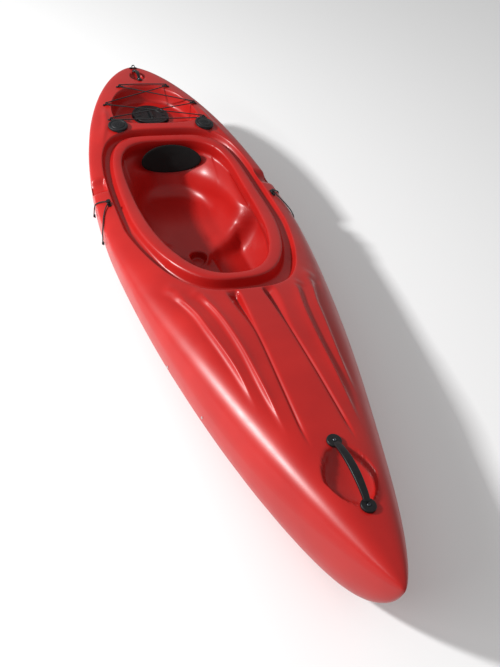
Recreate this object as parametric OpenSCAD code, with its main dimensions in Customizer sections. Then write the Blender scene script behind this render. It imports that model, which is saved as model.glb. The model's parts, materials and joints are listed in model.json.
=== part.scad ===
// Recreational sit-inside kayak: one hollow rotational moulding with a moulded
// seat and footwell, carry handles, tank well with hatch, rod holders, foot
// braces, paddle holders and deck bungee.
// Millimetres. +X to the bow, +Y to port, +Z up.
// The origin is on the keel line, at mid length, on the ground.

/* [Hull] */
// Length over all
hull_length = 3000; // [2900:10:3100]
// Greatest width
beam = 836; // [810:2:860]
// Wall thickness of the moulding
wall = 6; // [5:0.5:7]

/* [Cockpit] */
// Height of the coaming above the gutter round it
coaming_rise = 30; // [24:1:34]
// Height of the seat pan above the keel
seat_h = 78; // [70:1:90]
// Height of the footwell floor above the keel
floor_h = 34; // [30:1:40]

/* [Tank well] */
// Depth of the tank well below the deck
well_depth = 75; // [60:1:90]
// Outside diameter of the hatch cover
hatch_d = 176; // [168:1:180]

/* [Fittings] */
// Distance between the screws of the bow handle
bow_handle_span = 241; // [230:1:250]
// Distance between the screws of the stern handle
stern_handle_span = 92; // [88:1:96]
// Inside diameter of the rod holder tubes
rod_bore = 42; // [40:1:44]
// Diameter of the shock cord
cord_d = 5; // [4:0.5:6]
// Travel of the foot pegs along their rails
peg_travel = 200; // [150:10:220]
// Clearance between parts that move on each other
gap = 0.3; // [0.2:0.05:0.5]

/* [Hidden] */
$fn = 32;

red = [0.78, 0.09, 0.07];
black = [0.05, 0.05, 0.055];
steel = [0.75, 0.76, 0.78];
brass = [0.75, 0.6, 0.3];
rubber = [0.1, 0.1, 0.1];

half_length = hull_length / 2;

// ---- Lines of the hull -------------------------------------------------

// Heights of the widest line and of the middle of the deck at seven equal
// stations from stern to bow
sheer_heights = [360, 305, 265, 236, 203, 205, 336];
deck_heights = [372, 356, 310, 330, 358, 350, 350];

// Point on the smooth curve through equally spaced heights, u counted in stations
function curve_at(v, u) =
    let (
        n = len(v),
        i = min(n - 2, max(0, floor(u))),
        f = u - i,
        b = v[i],
        c = v[i + 1],
        a = i > 0 ? v[i - 1] : 2 * b - c,
        d = i < n - 2 ? v[i + 2] : 2 * c - b
    )
    0.5 * (2 * b + (c - a) * f + (2 * a - 5 * b + 4 * c - d) * f ^ 2 + (3 * b - a - 3 * c + d) * f ^ 3);

function station(x) = (x + half_length) / hull_length * (len(sheer_heights) - 1);
function sheer_z(x) = curve_at(sheer_heights, station(x));
function deck_mid_z(x) = curve_at(deck_heights, station(x));

// Half width of the hull, widest a little behind mid length
widest_x = -0.09 * hull_length;
function half_beam(x) =
    let (r = min(1, x > widest_x
        ? (x - widest_x) / (half_length - widest_x)
        : (widest_x - x) / (half_length + widest_x)))
    beam / 2 * (x > widest_x ? (1 - r ^ 1.6) ^ 0.77 : (1 - r ^ 2.03) ^ 0.63);

// Deck before anything is let into it
function deck_z(x, y) =
    let (
        t = min(1, abs(y) / max(half_beam(x), 0.01)),
        r = min(1, abs(x) / half_length)
    )
    sheer_z(x) + (deck_mid_z(x) - sheer_z(x)) * (1 - r ^ 14) ^ 0.5 * (1 - t ^ 2.93) ^ 0.455;

// Bottom of the hull, with a flat band along the keel to rest on
flat_cut = 4;
function keel_z(x) =
    let (r = min(1, abs(x) / half_length))
    sheer_z(x) * (1 - (1 - r ^ 9) ^ 0.6) + flat_cut * r ^ 4;
function bottom_z(x, y) =
    let (t = min(1, abs(y) / max(half_beam(x), 0.01)))
    max(0, sheer_z(x) - (sheer_z(x) - keel_z(x)) * (1 - t ^ 2.8) ^ 0.417 - flat_cut);

// ---- Outlines let into the deck ------------------------------------------

// An outline is [aft end, widest place, fore end, half width,
// fore exponents (along, across), aft exponents (along, across)]
gutter_outline = [-908, -230, 257, 348, 1.25, 3.3, 4.3, 4.5];
gutter_foot_outline = [-899, -230, 247, 338, 1.25, 3.3, 4.3, 4.5];
coaming_foot_outline = [-884, -330, 178, 312, 1.8, 2.9, 3.1, 5];
coaming_outline = [-876, -330, 169, 304, 1.8, 2.8, 3.1, 5];
mouth_outline = [-840, -500, 129, 253, 2.6, 2.45, 3.5, 3.4];
lip_outline = [-842, -500, 134, 257, 2.6, 2.45, 3.5, 3.4];
liner_top_outline = [-825, 50, 790, 290, 8, 1.6, 3.2, 3];
liner_foot_outline = [-775, 0, 775, 245, 8, 1.6, 3, 3];
well_outline = [-1295, -1030, -948, 207, 2.5, 2.5, 2, 2.3];
well_foot_outline = [-1272, -1030, -968, 190, 2.5, 2.5, 2, 2.3];

// Point of an outline at an angle from the bow, 0 to 360
function outline_at(o, a) =
    let (
        c = cos(a),
        s = sin(a),
        fore = c > 0,
        px = abs(c) ^ (2 / (fore ? o[4] : o[6])),
        py = abs(s) ^ (2 / (fore ? o[5] : o[7]))
    )
    [fore ? o[1] + (o[2] - o[1]) * px : o[1] - (o[1] - o[0]) * px, sign(s) * o[3] * py];

function coaming_z(x) = deck_mid_z(x) - 15;

// ---- The moulding as one grid of rows and columns --------------------------
// A row runs round the whole section, over the deck from starboard to port
// and back under the hull. Rows are counted from the stern.

side_cols = 3;                       // columns of the side deck
half_ring = 12;                      // rings round the cockpit
half_cols = half_ring + side_cols;   // columns from the centreline to the side
bottom_cols = 10;
section = 2 * half_cols + bottom_cols;
stern_steps = [0, 0.04, 0.12, 0.24, 0.4, 0.56, 0.72, 0.86, 1];
well_rows = 8;
bridge_rows = 2;
bow_steps = [0, 0.07, 0.16, 0.26, 0.37, 0.48, 0.57, 0.63, 0.67, 0.71, 0.75, 0.79, 0.84, 0.9, 0.95, 0.985, 1];
well_aft = len(stern_steps) - 1;
well_fore = well_aft + well_rows;
pit_aft = well_fore + bridge_rows;
pit_fore = pit_aft + 2 * half_ring;
last_row = pit_fore + len(bow_steps) - 1;
well_cols = 8;

function mix(a, b, f) = a + (b - a) * f;

// Angle round a square ring of half size (m, n) at the place (a, b) on it
function ring_angle(a, b, m, n) =
    let (u = a / m, v = b / n)
    u >= abs(v) ? 45 * v : v >= abs(u) ? 90 - 45 * u : u <= -abs(v) ? 180 - 45 * v : 270 + 45 * u;

// Cockpit rings from the gutter's edge inward: outline and height
function seat_floor_z(x, y) =
    let (
        pan = seat_h + 0.0004 * y ^ 2,
        drop = min(1, max(0, (x + 345) / 60))
    )
    mix(pan, floor_h, drop * drop * (3 - 2 * drop));

function pit_point(k, angle) =
    let (
        rim = k == 0 ? gutter_outline
            : k == 1 ? gutter_foot_outline
            : k == 2 ? coaming_foot_outline
            : k == 3 ? coaming_outline
            : k == 4 ? mouth_outline
            : k == 5 ? lip_outline
            : k == 6 ? liner_top_outline
            : liner_foot_outline,
        p = outline_at(rim, angle),
        shrink = k > 7 ? (half_ring - k) / (half_ring - 7) : 1,
        hub = [-285, 0],
        q = k > 7 ? hub + (p - hub) * shrink : p,
        forward = min(1, max(0, (q[0] - 100) / 300))
    )
    [q[0], q[1],
        k == 0 ? deck_z(q[0], q[1])
        : k <= 2 ? coaming_z(q[0]) - coaming_rise
        : k <= 4 ? coaming_z(q[0])
        : k == 5 ? coaming_z(q[0]) - coaming_rise - 30
        : k == 6 ? mix(235, deck_mid_z(q[0]) - 85, forward)
        : seat_floor_z(q[0], q[1]) + (k == 7 ? 22 : 0)];

function well_point(k, angle) =
    let (
        p = outline_at(k == 0 ? well_outline : well_foot_outline, angle),
        shrink = k > 1 ? (4 - k) / 3 : 1,
        hub = [-1110, 0],
        q = hub + (p - hub) * shrink
    )
    [q[0], q[1], k == 0 ? deck_z(q[0], q[1]) : deck_mid_z(-1110) - well_depth];

// Depth of the finger recesses under the carry handles
recess = [[1130, 106, 84, 42], [-1397, 38, 36, 26]];
function recess_depth(x, y) = max([for (r = recess)
    let (u = ((x - r[0]) / r[1]) ^ 2 + (y / r[2]) ^ 2) u < 1 ? r[3] * (1 - u) ^ 0.6 : 0]);

// Plan position of column j (from -half_cols to half_cols) where the side
// deck runs from an inner edge point to the side of the hull
function side_point(edge, j, n) =
    let (
        f = (abs(j) - n) / (half_cols - n),
        g = 1 - (1 - f) ^ 1.6,
        x = edge[0],
        b = half_beam(x),
        y = sign(j) * mix(abs(edge[1]), b, g)
    )
    [x, y, deck_z(x, y)];

function pit_row(i, j) =
    let (a = i - pit_aft - half_ring)
    abs(j) <= half_ring
        ? (let (m = max(abs(a), abs(j)))
            m == 0 ? pit_point(half_ring, 0)
            : pit_point(half_ring - m, ring_angle(a, j, m, m)))
        : side_point(pit_point(0, ring_angle(a, sign(j) * half_ring, half_ring, half_ring)), j, half_ring);

function well_row(i, j) =
    let (
        h = well_rows / 2,
        a = i - well_aft - h
    )
    abs(j) <= well_cols
        ? (let (k = min(h - abs(a), well_cols - abs(j)), n = well_cols - k, m = h - k)
            k == h ? well_point(k, 0) + [0, 12 * j, 0]
            : well_point(k, ring_angle(a, j, m, n)))
        : side_point(well_point(0, ring_angle(a, sign(j) * well_cols, h, well_cols)), j, well_cols);

// A row between an edge row and a tip: columns close on the tip
function end_point(edge, tip_x, j, s) =
    let (
        x = mix(edge[0], tip_x, s),
        t0 = abs(edge[1]) / half_beam(edge[0]),
        t1 = sin(90 * abs(j) / half_cols),
        y = sign(j) * half_beam(x) * (abs(j) == half_cols ? 1 : mix(t0, t1, min(1, 1.5 * s)))
    )
    [x, y, deck_z(x, y) - recess_depth(x, y)];

function bridge_point(i, j) =
    let (f = (i - well_fore) / bridge_rows, p = mix(well_row(well_fore, j), pit_row(pit_aft, j), f))
    [p[0], abs(j) == half_cols ? sign(j) * half_beam(p[0]) : p[1], deck_z(p[0], p[1])];

function top_point(i, j) =
    i < well_aft ? end_point(well_row(well_aft, j), -half_length, j, 1 - stern_steps[i])
    : i <= well_fore ? well_row(i, j)
    : i < pit_aft ? bridge_point(i, j)
    : i <= pit_fore ? pit_row(i, j)
    : end_point(pit_row(pit_fore, j), half_length, j, bow_steps[i - pit_fore]);

// Points under the hull, from port to starboard
function under_point(i, k) =
    let (
        a = 90 - 180 * k / bottom_cols,
        x = top_point(i, half_cols)[0],
        y = half_beam(x) * sin(a)
    )
    [x, y, bottom_z(x, y)];

function skin_point(i, k) =
    k <= 2 * half_cols ? top_point(i, k - half_cols) : under_point(i, k - 2 * half_cols);

// Faces of a closed tube of rows with a point at each end; the faces look
// outward, or inward for the hollow
function tube_faces(rows, cols) =
    let (stern_tip = rows * cols, bow_tip = stern_tip + 1)
    [
        for (i = [0 : rows - 2], k = [0 : cols - 1])
            let (
                a = i * cols + k,
                b = i * cols + (k + 1) % cols,
                starboard = k < half_cols || k >= 2 * half_cols + bottom_cols / 2
            )
            each starboard
                ? [[a, b + cols, a + cols], [a, b, b + cols]]
                : [[a, b, a + cols], [b, b + cols, a + cols]],
        for (k = [0 : cols - 1]) [(k + 1) % cols, k, stern_tip],
        for (k = [0 : cols - 1]) [(rows - 1) * cols + k, (rows - 1) * cols + (k + 1) % cols, bow_tip]
    ];

skin = [for (i = [1 : last_row - 1]) [for (k = [0 : section - 1]) skin_point(i, k)]];

function unit(v) = v / norm(v);

// Inner face of the wall: each point of the skin moved in by the wall's thickness
first_hollow_row = 1;
last_hollow_row = len(skin) - 2;
lip_lift = 6;
function cockpit_ring(i, k) =
    k > 2 * half_cols ? -1 : half_ring - max(abs(i + 1 - pit_aft - half_ring), abs(k - half_cols));
function hollow_point(i, k) =
    let (
        p = skin[i][k],
        fore = skin[i + 1][k] - p,
        aft = skin[i - 1][k] - p,
        next = skin[i][(k + 1) % section] - p,
        prev = skin[i][(k + section - 1) % section] - p
    )
    p + (cockpit_ring(i, k) == 5 && p[0] > -200 ? [0, 0, lip_lift] : [0, 0, 0])
    + wall * unit(unit(cross(next, fore)) + unit(cross(fore, prev))
        + unit(cross(prev, aft)) + unit(cross(aft, next)));

module skin_solid() {
    polyhedron(
        points = [each [for (row = skin) each row],
            [-half_length, 0, sheer_z(-half_length)], [half_length, 0, sheer_z(half_length)]],
        faces = tube_faces(len(skin), section));
}

module hollow_solid() {
    rows = last_hollow_row - first_hollow_row + 1;
    polyhedron(
        points = [for (i = [first_hollow_row : last_hollow_row], k = [0 : section - 1]) hollow_point(i, k),
            [skin[0][0][0] + wall, 0, sheer_z(-half_length)],
            [skin[len(skin) - 1][0][0] - wall, 0, sheer_z(half_length)]],
        faces = tube_faces(rows, section));
}

// ---- Where the fittings sit ----------------------------------------------

bow_handle_x = 1126;
stern_handle_x = -1397;
tow_eye_x = -1478;
hatch_x = -1120;
well_z = deck_mid_z(-1110) - well_depth;
rod_x = -933;
rod_y = 207;
flange_r = 43;
flange_h = 5;
gasket_h = 2;
tube_r = rod_bore / 2 + 3.5;
tube_l = 180;
rod_screw_r = 35;
hatch_neck_r = 68;
insert_r = 5;
insert_l = 14;
pad_eyes = [["aft", -1284, 116], ["mid", -1130, 214], ["fore", -995, 223]];
hook_x = -415;
hook_y = 366;
rail_x = [395, 650];
rail_z = 150;

// Turns +Z into the direction across the deck at a place
module on_deck(x, y, lift = 0) {
    step = 2;
    slope_x = atan((deck_z(x + step, y) - deck_z(x - step, y)) / (2 * step));
    slope_y = atan((deck_z(x, y + step) - deck_z(x, y - step)) / (2 * step));
    translate([x, y, deck_z(x, y)])
        rotate([slope_y, -slope_x, 0])
        translate([0, 0, lift])
        children();
}

// Frame of a carry handle: level line through its two screws
module on_handle(x, span) {
    fall = atan((deck_z(x + span / 2, 0) - deck_z(x - span / 2, 0)) / span);
    translate([x, 0, (deck_z(x + span / 2, 0) + deck_z(x - span / 2, 0)) / 2])
        rotate([0, -fall, 0])
        children();
}

module port_side(left) {
    mirror([0, left ? 0 : 1, 0]) children();
}

// Frame of a foot rail: +X along the rail, +Y out through the side
rail_y = [244, 202];
rail_run = rail_x[1] - rail_x[0];
rail_turn = atan((rail_y[1] - rail_y[0]) / rail_run);
rail_span = rail_run / cos(rail_turn);
side_reach = [94.6, 88.6];               // from the rail's face to the outside of the hull
module on_rail() {
    translate([rail_x[0], rail_y[0], rail_z]) rotate([0, 0, rail_turn]) children();
}

module pair(span) {
    for (x = [-span / 2, span / 2]) translate([x, 0, 0]) children();
}

// Straight pin along +Z from z0 to z1
module pin(r, z0, z1) {
    translate([0, 0, z0]) cylinder(r = r, h = z1 - z0);
}

// ---- Sub-parts -------------------------------------------------------------

module hull_shell() {
    color(red)
    difference() {
        skin_solid();
        hollow_solid();
        translate([hatch_x, 0, well_z]) pin(hatch_neck_r + 1, -wall - 4, 6);
        for (left = [true, false]) port_side(left) {
            on_deck(rod_x, rod_y) pin(tube_r + 1, -wall - 6, 12);
            on_rail() for (x = [0, rail_span]) translate([x, -10, 0]) rotate([-90, 0, 0]) pin(3, 0, 130);
        }
        on_handle(bow_handle_x, bow_handle_span) pair(bow_handle_span) pin(insert_r + 0.05, -insert_l - 3, 6);
        on_handle(stern_handle_x, stern_handle_span) pair(stern_handle_span)
            pin(insert_r + 0.05, -insert_l - 3, 6);
    }
}

// Arched grip between two round pads, screwed down through the pads
module carry_handle(span, rise, width, pad_r, pad_h) {
    arc_r = ((span / 2) ^ 2 + rise ^ 2) / (2 * rise);
    sweep = 2 * asin(span / 2 / arc_r);
    difference() {
        union() {
            pair(span) pin(pad_r, 0, pad_h);
            translate([0, width / 2, pad_h - 2 + rise - arc_r])
                rotate([90, 0, 0])
                rotate([0, 0, 90 - sweep / 2])
                rotate_extrude(angle = sweep, $fn = 96)
                translate([arc_r - 6, 0]) square([6, width]);
        }
        pair(span) pin(3.2, -1, pad_h + 20);
        pair(span) pin(7, pad_h, pad_h + 20);
    }
}

module handle_bolt(pad_h) {
    pin(6.4, pad_h + 0.1, pad_h + 3.6);
    pin(2.9, -insert_l + 2, pad_h + 0.2);
}

module handle_insert() {
    difference() {
        pin(insert_r, -insert_l, -0.3);
        pin(3, -insert_l - 1, 1);
    }
}

module bow_handle() {
    color(black) on_handle(bow_handle_x, bow_handle_span) translate([0, 0, 0.6])
        carry_handle(bow_handle_span, 26, 17, 18, 8);
}
module bow_handle_bolts() {
    color(steel) on_handle(bow_handle_x, bow_handle_span) translate([0, 0, 0.6])
        pair(bow_handle_span) handle_bolt(8);
}
module bow_handle_inserts() {
    color(brass) on_handle(bow_handle_x, bow_handle_span) pair(bow_handle_span) handle_insert();
}
module stern_handle() {
    color(black) on_handle(stern_handle_x, stern_handle_span) translate([0, 0, 0.6])
        carry_handle(stern_handle_span, 15, 14, 12, 6);
}
module stern_handle_bolts() {
    color(steel) on_handle(stern_handle_x, stern_handle_span) translate([0, 0, 0.6])
        pair(stern_handle_span) handle_bolt(6);
}
module stern_handle_inserts() {
    color(brass) on_handle(stern_handle_x, stern_handle_span) pair(stern_handle_span) handle_insert();
}

// Base plate with an upright eye across it; the eye's hole runs along Y
module eye_plate(span, width, base_h, hole_r, eye_w) {
    difference() {
        union() {
            pair(span) pin(width / 2, 0, base_h);
            translate([-span / 2, -width / 2, 0]) cube([span, width, base_h]);
            translate([0, eye_w / 2, base_h + hole_r - 0.5]) rotate([90, 0, 0]) pin(hole_r + 2.8, 0, eye_w);
        }
        translate([0, width, base_h + hole_r - 0.5]) rotate([90, 0, 0]) pin(hole_r, 0, 2 * width);
        pair(span) pin(1.8, -1, base_h + 1);
        translate([-span, -width, -20]) cube([2 * span, 2 * width, 20]);
    }
}

module eye_screw(length) {
    pin(3.2, 0, 2);
    pin(1.6, -length, 0.1);
}

module stern_tow_eye() {
    color(black) on_deck(tow_eye_x, 0, 0.6) rotate([0, 0, 90]) eye_plate(26, 13, 3.5, 6, 6);
}
module stern_tow_eye_screws() {
    color(steel) on_deck(tow_eye_x, 0, 4.2) rotate([0, 0, 90]) pair(26) eye_screw(14);
}

module pad_eye(i, left) {
    color(black) port_side(left) on_deck(pad_eyes[i][1], pad_eyes[i][2], 0.5)
        rotate([0, 0, 90]) eye_plate(26, 11, 3, 4, 7);
}
module pad_eye_screws() {
    color(steel) for (e = pad_eyes, left = [true, false])
        port_side(left) on_deck(e[1], e[2], 3.6) rotate([0, 0, 90]) pair(26) eye_screw(14);
}

// The cap hinges on two lugs at the fore edge of the flange
cap_hinge_x = flange_r + 5;
cap_hinge_z = 2.4;
module cap_hinge_bar(r, y0, y1) {
    translate([cap_hinge_x, y1, cap_hinge_z]) rotate([90, 0, 0]) pin(r, 0, y1 - y0);
}
module rod_holder(left) {
    color(black) port_side(left) on_deck(rod_x, rod_y, 0.4 + gasket_h)
    difference() {
        union() {
            pin(flange_r, 0, flange_h);
            pin(tube_r, -tube_l, 1);
            for (y = [-15, 12]) {
                translate([flange_r - 6, y, 0.3]) cube([11, 3, 4.2]);
                cap_hinge_bar(2.1, y, y + 3);
            }
        }
        cap_hinge_bar(1.3, -20, 20);
        pin(rod_bore / 2, -tube_l + 4, flange_h + 1);
        for (a = [90, 210, 330]) rotate([0, 0, a]) translate([rod_screw_r, 0, 0]) pin(2.2, -1, flange_h + 1);
    }
}
module rod_gasket(left) {
    color(rubber) port_side(left) on_deck(rod_x, rod_y, 0.3)
    difference() {
        pin(flange_r - 1, 0, gasket_h);
        pin(tube_r + 0.5, -1, gasket_h + 1);
        for (a = [90, 210, 330]) rotate([0, 0, a]) translate([rod_screw_r, 0, 0]) pin(2.2, -1, gasket_h + 1);
    }
}
module rod_screws(left) {
    color(steel) port_side(left) on_deck(rod_x, rod_y, 0.5 + gasket_h + flange_h)
        for (a = [90, 210, 330]) rotate([0, 0, a]) translate([rod_screw_r, 0, 0]) {
            pin(3.4, 0, 2);
            pin(2, -20, 0.1);
        }
}
module rod_cap(left) {
    color(rubber) port_side(left) on_deck(rod_x, rod_y, 0.4 + gasket_h) {
        difference() {
            union() {
                pin(flange_r + 2, 1, flange_h + 7);
                pin(flange_r - 10, flange_h + 6.9, flange_h + 9);
                translate([flange_r - 2, -11.6, 1.6]) cube([cap_hinge_x - flange_r + 2, 23.2, 2.6]);
                cap_hinge_bar(2, -11.6, 11.6);
            }
            pin(flange_r + gap, 0, flange_h + gap + 2.6);
            for (y = [-15.5, 11.6]) translate([flange_r - 7, y, 0]) cube([20, 3.9, 5.4]);
        }
        cap_hinge_bar(1, -14.6, 14.6);
    }
}

module hatch_ring() {
    color(black) translate([hatch_x, 0, well_z + 1.8])
    difference() {
        union() {
            pin(90, 0, 4);
            pin(hatch_neck_r, -22, 9);
        }
        pin(hatch_neck_r - 5, -23, 10);
        for (a = [0 : 45 : 315]) rotate([0, 0, a + 22.5]) translate([82, 0, 0]) pin(2.2, -1, 5);
    }
}
module hatch_gasket() {
    color(rubber) translate([hatch_x, 0, well_z + 0.2])
    difference() {
        pin(89, 0, 1.5);
        pin(hatch_neck_r + 0.5, -1, 3);
        for (a = [0 : 45 : 315]) rotate([0, 0, a + 22.5]) translate([82, 0, 0]) pin(2.2, -1, 5);
    }
}
module hatch_screws() {
    color(steel) translate([hatch_x, 0, well_z + 5.9])
        for (a = [0 : 45 : 315]) rotate([0, 0, a + 22.5]) translate([82, 0, 0]) {
            pin(3.2, 0, 1.6);
            pin(2, -16, 0.1);
        }
}
hatch_plug_r = hatch_neck_r - 5 - gap;
module hatch_cover() {
    color(black) translate([hatch_x, 0, well_z + 11.2])
    difference() {
        union() {
            pin(hatch_d / 2, 0, 6);
            pin(hatch_plug_r, -18, 0.1);
            translate([-62, -8, 5.9]) cube([124, 16, 9]);
        }
        pin(hatch_plug_r - 5, -19, -2);
        difference() {
            pin(hatch_plug_r + 1, -10, -6);
            pin(hatch_plug_r - 2.6, -11, -5);
        }
    }
}
module hatch_o_ring() {
    color(rubber) translate([hatch_x, 0, well_z + 11.2 - 8])
        rotate_extrude($fn = 64) translate([hatch_plug_r - 1.2, 0]) circle(r = 1.25, $fn = 16);
}

// Button the paddle cord is looped round, on a two-screw foot
module paddle_hook(left) {
    color(black) port_side(left) on_deck(hook_x, hook_y, 0.5)
    difference() {
        union() {
            pair(30) pin(7, 0, 4);
            translate([-15, -7, 0]) cube([30, 14, 4]);
            pin(4.5, 3.9, 13.1);
            pin(9.5, 13, 17);
        }
        pair(30) pin(1.9, -1, 5);
    }
}
module paddle_hook_screws() {
    color(steel) for (left = [true, false])
        port_side(left) on_deck(hook_x, hook_y, 4.6) pair(30) eye_screw(14);
}

// ---- Cords -------------------------------------------------------------------

// Points of a route rounded with a smooth curve through them
function route_at(r, steps) =
    [for (i = [0 : len(r) - 2], k = [0 : steps - 1])
        let (f = k / steps)
        [for (c = [0 : 2]) curve_at([for (q = r) q[c]], i + f)],
     r[len(r) - 1]];

module cord(route, steps, sides) {
    p = route_at(route, steps);
    n = len(p);
    rings = [for (i = [0 : n - 1])
        let (
            along = unit(p[min(n - 1, i + 1)] - p[max(0, i - 1)]),
            side = unit(cross(along, [0, 0, 1])),
            up = cross(side, along)
        )
        [for (a = [0 : sides - 1])
            p[i] + cord_d / 2 * (cos(360 * a / sides) * side + sin(360 * a / sides) * up)]];
    polyhedron(
        points = [for (r = rings) each r],
        faces = [
            [for (a = [0 : sides - 1]) a],
            [for (a = [sides - 1 : -1 : 0]) (n - 1) * sides + a],
            for (i = [0 : n - 2], a = [0 : sides - 1])
                let (b = (a + 1) % sides, o = i * sides)
                each [[o + a, o + sides + a, o + sides + b], [o + a, o + sides + b, o + b]]
        ]);
}

eye_lift = 7.3;
function eye_point(i, side) =
    let (e = pad_eyes[i]) [e[1], side * e[2], deck_z(e[1], e[2]) + eye_lift];

// The deck bungee laced through the six pad eyes, over the tank well:
// [pad eye, side, way along X it is threaded]
lacing = [[2, -1, -1], [1, 1, -1], [0, -1, -1], [0, 1, 1], [1, -1, 1], [2, 1, 1]];
knot_point = eye_point(2, 1) + [11, -14, -1];
function threaded(l) =
    let (c = eye_point(l[0], l[1]), d = l[2], s = -l[1])
    [c + [-11.5 * d, 5 * s, 0], c + [-10 * d, 1.5 * s, 0], c - [6.5 * d, 0, 0], c,
     c + [6.5 * d, 0, 0], c + [10 * d, 1.5 * s, 0], c + [11.5 * d, 5 * s, 0]];
bungee_route = [
    knot_point,
    for (i = [0 : len(lacing) - 1])
        each i == 2
            ? [each threaded(lacing[2]), eye_point(0, 1) * 0.5 + eye_point(0, -1) * 0.5 + [-11.5, 0, 2]]
            : threaded(lacing[i]),
    knot_point
];
module tank_well_bungee() {
    color(black) cord(bungee_route, 1, 8);
}
module bungee_knots() {
    color(black) translate(knot_point) sphere(r = 4.2, $fn = 24);
}

side_eyes = [[-452, 411.2], [-262, 417.6]];
side_eye_z = 206;
paddle_cord_route = [
    [-452, 417, 208], [-452, 417, 226], [-451, 417, 246], [-448, 416, 264], [-443, 409, 276],
    [-436, 396, 286], [-424, 374, 296], [-421.3, 364.6, 298.2], [-415, 361, 299.1],
    [-408.7, 364.6, 298.2], [-406, 374, 296], [-385, 388, 288], [-350, 402, 281],
    [-318, 411, 275], [-290, 418, 267], [-272, 423, 250], [-263, 423, 230], [-262, 423, 208]
];
module paddle_cord(left) {
    color(black) port_side(left) cord(paddle_cord_route, 3, 8);
}
module paddle_cord_eye(left) {
    color(black) port_side(left) for (e = side_eyes)
        translate([e[0], e[1], side_eye_z]) rotate([-90, 0, 0]) {
            pin(8, 0, 3);
            pin(5, 2.9, 8);
        }
}

// ---- Foot braces ---------------------------------------------------------------

// Rail with a T slot, closed at both ends where the bolts pass
rail_h = 24;
rail_t = 13;
slot_end = 16;
module foot_rail(left) {
    color(black) port_side(left) on_rail()
    difference() {
        translate([-18, 0, -rail_h / 2]) cube([rail_span + 36, rail_t, rail_h]);
        translate([slot_end, -1, -4]) cube([rail_span - 2 * slot_end, 6, 8]);
        translate([slot_end, 4, -8]) cube([rail_span - 2 * slot_end, 6, 16]);
        for (x = [0, rail_span]) translate([x, 0, 0]) rotate([-90, 0, 0]) pin(2.8, -1, rail_t + 1);
    }
}

// Pedal whose foot slides in the slot
peg_foot_l = 26;
peg_rest = (rail_span - peg_foot_l) / 2;
module foot_peg(left) {
    color(black) port_side(left) on_rail() translate([peg_rest, 0, 0]) {
        translate([0, 4 + gap, -8 + gap]) cube([peg_foot_l, 6 - 2 * gap, 16 - 2 * gap]);
        translate([0, -2, -4 + gap]) cube([peg_foot_l, 7, 8 - 2 * gap]);
        translate([0, -9, -16]) cube([peg_foot_l, 9 - gap, 32]);
        translate([4, -78, -30]) cube([9, 72, 60]);
    }
}

module foot_rail_bolts() {
    color(steel) for (left = [true, false], i = [0, 1]) port_side(left) on_rail()
        translate([i * rail_span, 0, 0]) rotate([-90, 0, 0]) {
            pin(2.5, -7, side_reach[i] + 0.1);
            pin(5, side_reach[i], side_reach[i] + 3);
        }
}
module foot_rail_washers() {
    color(steel) for (left = [true, false], i = [0, 1]) port_side(left) on_rail()
        translate([i * rail_span, 0, 0]) rotate([-90, 0, 0]) difference() {
            pin(6, -1.5, -0.3);
            pin(2.6, -2, 1);
        }
}
module foot_rail_nuts() {
    color(steel) for (left = [true, false], i = [0, 1]) port_side(left) on_rail()
        translate([i * rail_span, 0, 0]) rotate([-90, 0, 0]) difference() {
            translate([0, 0, -5.6]) cylinder(r = 4.6, h = 4, $fn = 6);
            pin(2.55, -6, 1);
        }
}

// ---- Back pad -------------------------------------------------------------------

back_pad_w = 290;
back_pad_h = 132;
back_pad_t = 12;
module back_pad() {
    bend_r = 330;
    color(black) translate([-821, 12, 236]) rotate([0, -17, 0])
    intersection() {
        rotate([90, 0, 90]) linear_extrude(80)
            polygon([for (a = [0 : 10 : 350])
                [back_pad_w / 2 * cos(a), back_pad_h / 2 * sin(a) * (sin(a) > 0 ? 1.05 : 0.95)]]);
        translate([bend_r, 0, -150]) difference() {
            cylinder(r = bend_r - 6, h = 300, $fn = 128);
            translate([0, 0, -1]) cylinder(r = bend_r - 6 - back_pad_t, h = 302, $fn = 128);
        }
    }
}

hull_shell();
hatch_gasket();
hatch_ring();
hatch_screws();
hatch_o_ring();
hatch_cover();
bow_handle();
bow_handle_bolts();
bow_handle_inserts();
stern_handle();
stern_handle_bolts();
stern_handle_inserts();
stern_tow_eye();
stern_tow_eye_screws();
rod_holder(true);  // rod_holder_left
rod_holder(false);  // rod_holder_right
rod_gasket(true);  // rod_gasket_left
rod_gasket(false);  // rod_gasket_right
rod_screws(true);  // rod_screws_left
rod_screws(false);  // rod_screws_right
rod_cap(true);  // rod_cap_left
rod_cap(false);  // rod_cap_right
pad_eye(0, true);  // pad_eye_aft_left
pad_eye(0, false);  // pad_eye_aft_right
pad_eye(1, true);  // pad_eye_mid_left
pad_eye(1, false);  // pad_eye_mid_right
pad_eye(2, true);  // pad_eye_fore_left
pad_eye(2, false);  // pad_eye_fore_right
pad_eye_screws();
tank_well_bungee();
bungee_knots();
paddle_hook(true);  // paddle_hook_left
paddle_hook(false);  // paddle_hook_right
paddle_hook_screws();
paddle_cord(true);  // paddle_cord_left
paddle_cord(false);  // paddle_cord_right
paddle_cord_eye(true);  // paddle_cord_eye_left
paddle_cord_eye(false);  // paddle_cord_eye_right
foot_rail(true);  // foot_rail_left
foot_rail(false);  // foot_rail_right
foot_peg(true);  // foot_peg_left
foot_peg(false);  // foot_peg_right
foot_rail_bolts();
foot_rail_washers();
foot_rail_nuts();
back_pad();
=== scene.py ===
# %% [markdown]
# # A recreational kayak
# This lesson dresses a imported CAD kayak. The hull is one rotational moulding, so
# it is one surface here. The fittings screwed to it keep their CAD shapes where
# those are right, and are remade where the real ones are softer or finer.

# %% Load the frame
import bpy
import json
import math
from mathutils import Matrix, Vector


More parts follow.
